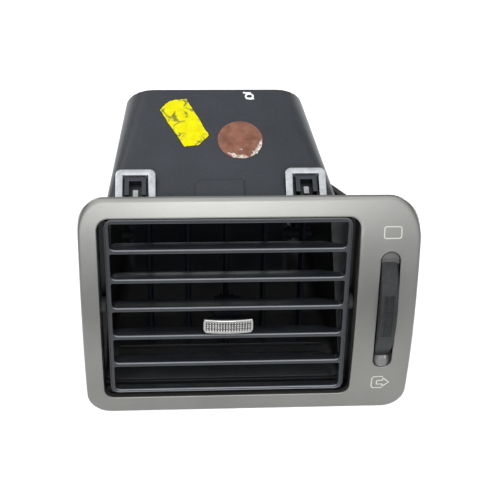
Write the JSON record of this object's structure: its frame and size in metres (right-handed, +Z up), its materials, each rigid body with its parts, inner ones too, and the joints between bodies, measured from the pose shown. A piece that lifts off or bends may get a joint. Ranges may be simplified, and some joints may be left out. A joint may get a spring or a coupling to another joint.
{
  "type": "dashboard air vent",
  "caption": "Car dashboard air vent: leaning satin bezel, tilting slatted grille with a sliding knob, thumbwheel-driven dampers and a tapering rear duct",
  "frame": {"origin": "middle of the bounding box's bottom, level with the bezel's lower edge and the rear ribs' feet", "axes": "+X to the right of someone facing the grille, +Y from the grille back along the duct, +Z up"},
  "size_m": [0.15, 0.1214, 0.0938],
  "materials": {
    "bezel_silver": "satin silver lacquer on moulded plastic",
    "duct_plastic": "moulded, blue-grey black, fine grain",
    "grille_plastic": "moulded black, slight sheen",
    "vane_plastic": "moulded black",
    "wheel_rubber": "soft-touch black with raised dots",
    "carrier_plastic": "moulded black",
    "knob_chrome": "satin chrome",
    "clip_zinc": "bright zinc-plated spring sheet",
    "pin_steel": "plain steel",
    "felt": "dense friction felt",
    "foam": "thin closed-cell foam",
    "damper_plastic": "moulded dark grey"
  },
  "bodies": {
    "housing": {"bezel": "bezel_silver", "duct_housing": "duct_plastic", "rear_rib_left": "duct_plastic", "rear_rib_right": "duct_plastic", "grille_pin_left": "pin_steel", "grille_pin_right": "pin_steel", "grille_bush_left": "felt", "grille_bush_right": "felt", "vane_rail_lower": "duct_plastic", "vane_rail_upper": "duct_plastic", "wheel_axle": "pin_steel", "axle_clip": "pin_steel", "axle_spacer": "carrier_plastic", "wheel_cover": "duct_plastic", "spring_clip_left": "clip_zinc", "spring_clip_right": "clip_zinc", "latch_hook_left": "duct_plastic", "latch_hook_right": "duct_plastic"},
    "grille": {"grille": "grille_plastic"},
    "knob": {"knob_cap": "knob_chrome", "knob_carrier": "carrier_plastic"},
    "vane_1_body": {"vane_1": "vane_plastic"},
    "vane_2_body": {"vane_2": "vane_plastic"},
    "vane_3_body": {"vane_3": "vane_plastic"},
    "vane_4_body": {"vane_4": "vane_plastic"},
    "vane_5_body": {"vane_5": "vane_plastic"},
    "tie_bar": {"vane_tie_bar": "carrier_plastic"},
    "wheel": {"thumb_wheel": "wheel_rubber"},
    "link": {"link_rod": "carrier_plastic"},
    "lower_damper": {"damper_lower": "damper_plastic", "damper_seal_lower": "foam", "damper_crank": "carrier_plastic"},
    "upper_damper": {"damper_upper": "damper_plastic", "damper_seal_upper": "foam"},
    "damper_link": {"damper_tie": "carrier_plastic"}
  },
  "joints": [
    {"name": "grille_tilt", "type": "hinge", "parent": "housing", "child": "grille", "pos_m": [-0.00945, -0.02584, 0.04438], "axis": [1, 0, 0], "range_deg": [-6, 6]},
    {"name": "knob_slide", "type": "slide", "parent": "grille", "child": "knob", "axis": [1, 0, 0], "range_m": [-0.006, 0.006]},
    {"name": "vane_1_turn", "type": "hinge", "parent": "housing", "child": "vane_1_body", "pos_m": [-0.04505, 0.00001, 0.04304], "axis": [0, 0.5388, 0.8425], "range_deg": [-30.5, 30.5]},
    {"name": "vane_2_turn", "type": "hinge", "parent": "housing", "child": "vane_2_body", "pos_m": [-0.02725, 0.00001, 0.04304], "axis": [0, 0.5388, 0.8425], "range_deg": [-30.5, 30.5]},
    {"name": "vane_3_turn", "type": "hinge", "parent": "housing", "child": "vane_3_body", "pos_m": [-0.00945, 0.00001, 0.04304], "axis": [0, 0.5388, 0.8425], "range_deg": [-30.5, 30.5]},
    {"name": "vane_4_turn", "type": "hinge", "parent": "housing", "child": "vane_4_body", "pos_m": [0.00835, 0.00001, 0.04304], "axis": [0, 0.5388, 0.8425], "range_deg": [-30.5, 30.5]},
    {"name": "vane_5_turn", "type": "hinge", "parent": "housing", "child": "vane_5_body", "pos_m": [0.02615, 0.00001, 0.04304], "axis": [0, 0.5388, 0.8425], "range_deg": [-30.5, 30.5]},
    {"name": "tie_bar_slide", "type": "slide", "parent": "housing", "child": "tie_bar", "axis": [1, 0, 0], "range_m": [-0.0027, 0.0027]},
    {"name": "wheel_turn", "type": "hinge", "parent": "housing", "child": "wheel", "pos_m": [0.062, -0.00647, 0.03235], "axis": [1, 0, 0], "range_deg": [-22.5, 22.5]},
    {"name": "link_swing", "type": "hinge", "parent": "wheel", "child": "link", "pos_m": [0.04618, -0.0082, 0.0422], "axis": [1, 0, 0], "range_deg": [-23, 23]},
    {"name": "lower_damper_turn", "type": "hinge", "parent": "housing", "child": "lower_damper", "pos_m": [0, 0.01885, 0.03044], "axis": [1, 0, 0], "range_deg": [-23, 23]},
    {"name": "upper_damper_turn", "type": "hinge", "parent": "housing", "child": "upper_damper", "pos_m": [0, 0.03985, 0.06681], "axis": [1, 0, 0], "range_deg": [-23, 23]},
    {"name": "damper_link_swing", "type": "hinge", "parent": "lower_damper", "child": "damper_link", "pos_m": [0.02507, 0.02433, 0.0233], "axis": [1, 0, 0], "range_deg": [-23, 23]}
  ],
  "couplings": [
    {"joint": "vane_1_turn", "follows": "knob_slide", "rad_per_m": 87.266},
    {"joint": "vane_2_turn", "follows": "knob_slide", "rad_per_m": 87.266},
    {"joint": "vane_3_turn", "follows": "knob_slide", "rad_per_m": 87.266},
    {"joint": "vane_4_turn", "follows": "knob_slide", "rad_per_m": 87.266},
    {"joint": "vane_5_turn", "follows": "knob_slide", "rad_per_m": 87.266},
    {"joint": "tie_bar_slide", "follows": "knob_slide", "ratio": -0.425},
    {"joint": "link_swing", "follows": "wheel_turn", "ratio": -1},
    {"joint": "lower_damper_turn", "follows": "wheel_turn", "ratio": 1},
    {"joint": "upper_damper_turn", "follows": "wheel_turn", "ratio": 1},
    {"joint": "damper_link_swing", "follows": "wheel_turn", "ratio": -1}
  ]
}
